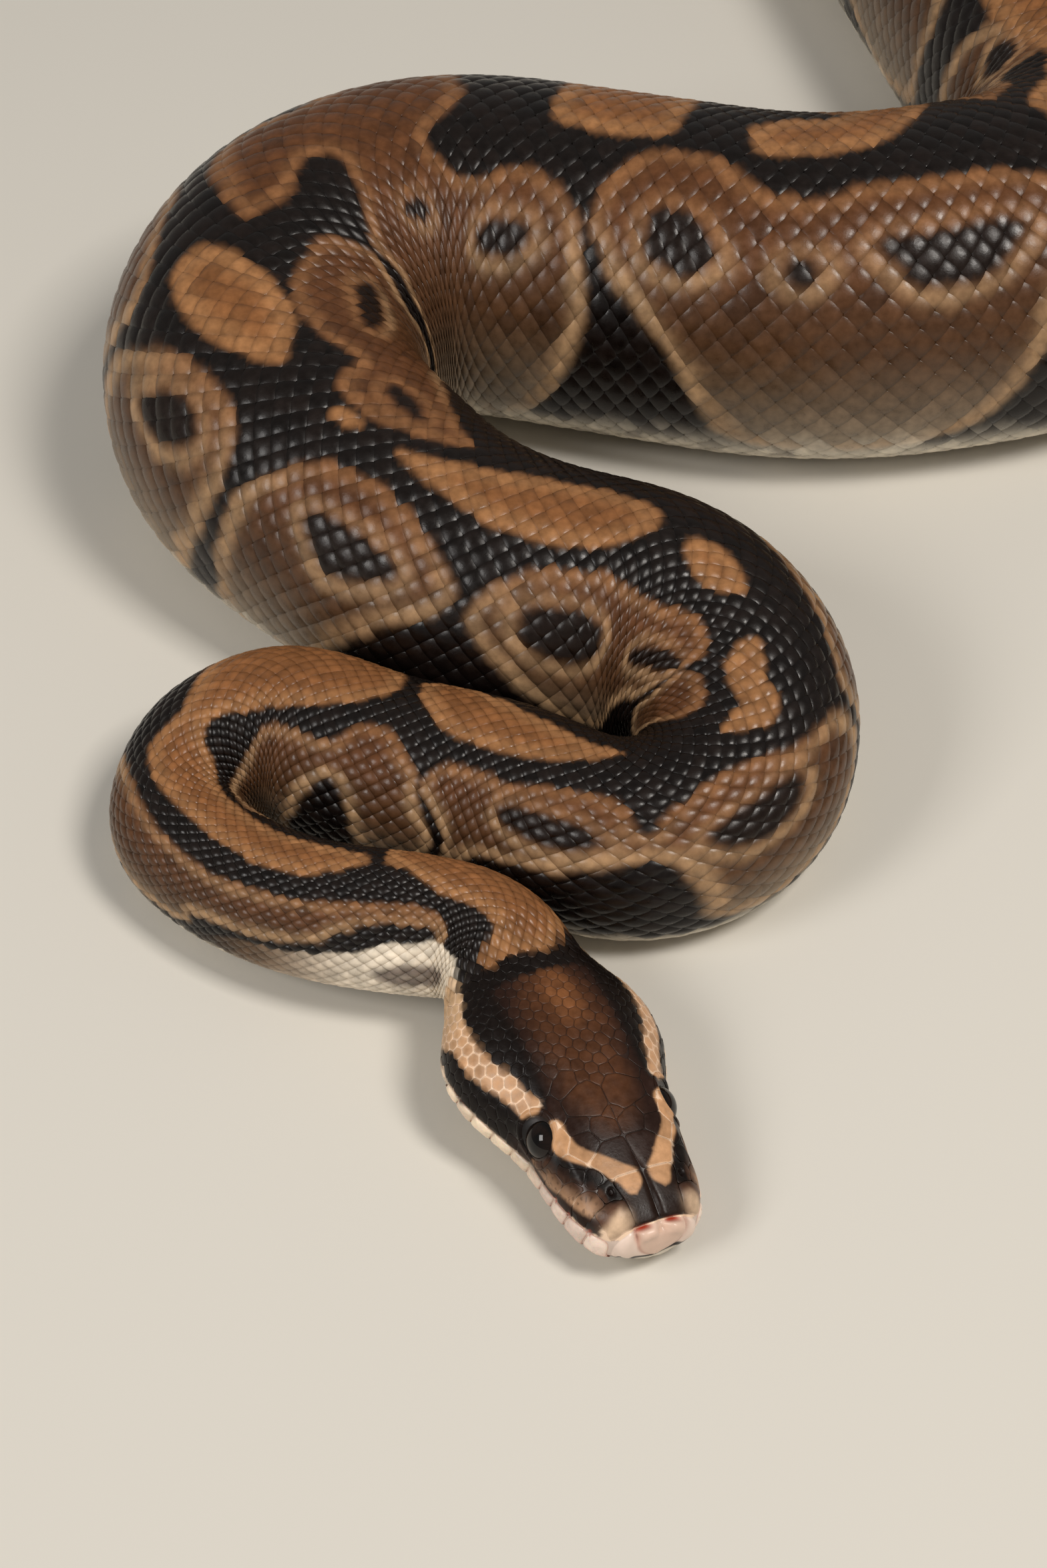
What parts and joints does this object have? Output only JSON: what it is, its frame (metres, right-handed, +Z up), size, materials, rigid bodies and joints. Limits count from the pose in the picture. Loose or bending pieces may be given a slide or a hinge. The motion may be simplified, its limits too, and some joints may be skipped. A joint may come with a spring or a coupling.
{
  "type": "coiled ball python",
  "caption": "Life-size still model of a ball python resting in loose coils, head laid forward on the floor, with patterned scaled skin.",
  "frame": {"origin": "middle of the model's bounding box, on the floor plane that the belly and chin rest on", "axes": "+Z up; +Y from the head's side towards the back loop, along the longest extent; +X to the right when the head faces the viewer"},
  "size_m": [0.2756, 0.4464, 0.052],
  "materials": {
    "head_skin": "scaled skin, satin with a soft gloss, dark brown crown with tan stripes",
    "lip_skin": "scaled skin, satin, cream with a pinkish edge",
    "body_skin": "scaled skin, satin, brown-black with tan and grey-brown blotches",
    "eye": "wet gloss, near black"
  },
  "bodies": {
    "root": {"head": "head_skin", "jaw": "lip_skin", "eye_left": "eye", "eye_right": "eye", "neck": "body_skin", "trunk_1": "body_skin", "trunk_2": "body_skin", "trunk_3": "body_skin", "trunk_4": "body_skin", "trunk_5": "body_skin", "trunk_6": "body_skin", "trunk_7": "body_skin", "trunk_8": "body_skin", "trunk_9": "body_skin", "trunk_10": "body_skin", "trunk_11": "body_skin", "trunk_12": "body_skin", "trunk_13": "body_skin", "tail": "body_skin"}
  },
  "joints": []
}
